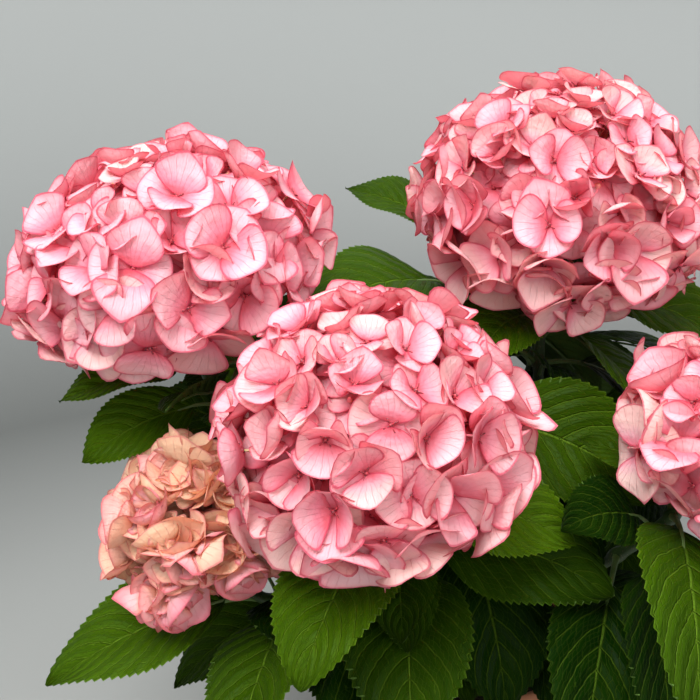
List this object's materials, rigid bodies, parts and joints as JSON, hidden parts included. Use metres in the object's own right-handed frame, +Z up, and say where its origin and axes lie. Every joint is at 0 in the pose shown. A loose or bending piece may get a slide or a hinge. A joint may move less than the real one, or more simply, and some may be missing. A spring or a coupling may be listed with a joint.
{
  "type": "potted hydrangea shrub",
  "caption": "Mophead hydrangea in a plain terracotta pot: a low woody foot, leafy green stems and large round heads of pink blossom held above the leaves.",
  "frame": {"origin": "centre of the pot's flat underside", "axes": "+Z up along the pot's axis; the picture looks along +Y, so +X is to its right"},
  "size_m": [0.5931, 0.4858, 0.5249],
  "materials": {
    "terracotta": "matt fired clay",
    "soil": "moist potting mix, rough",
    "bark": "rough young bark",
    "stem": "green, slightly glossy, with pale flecks",
    "leaf": "leathery green, soft sheen",
    "petal": "soft matt petal, slightly translucent",
    "young_petal": "soft matt petal, slightly translucent"
  },
  "bodies": {
    "root": {"pot": "terracotta", "soil": "soil", "woody_foot": "bark", "bough_front": "stem", "foliage_front": "leaf", "bloom_front": "petal", "bough_left": "stem", "foliage_left": "leaf", "bloom_left": "petal", "bough_right": "stem", "foliage_right": "leaf", "bloom_right": "petal", "bough_low_right": "stem", "foliage_low_right": "leaf", "bloom_low_right": "petal", "bough_young": "stem", "foliage_young": "leaf", "bloom_young": "young_petal", "bough_middle": "stem", "foliage_middle": "leaf", "bough_inner": "stem", "foliage_inner": "leaf", "bough_back_left": "stem", "foliage_back_left": "leaf", "bloom_back_left": "petal", "bough_back_right": "stem", "foliage_back_right": "leaf", "bloom_back_right": "petal", "bough_far_right": "stem", "foliage_far_right": "leaf", "bloom_far_right": "petal", "bough_rear": "stem", "foliage_rear": "leaf"}
  },
  "joints": []
}
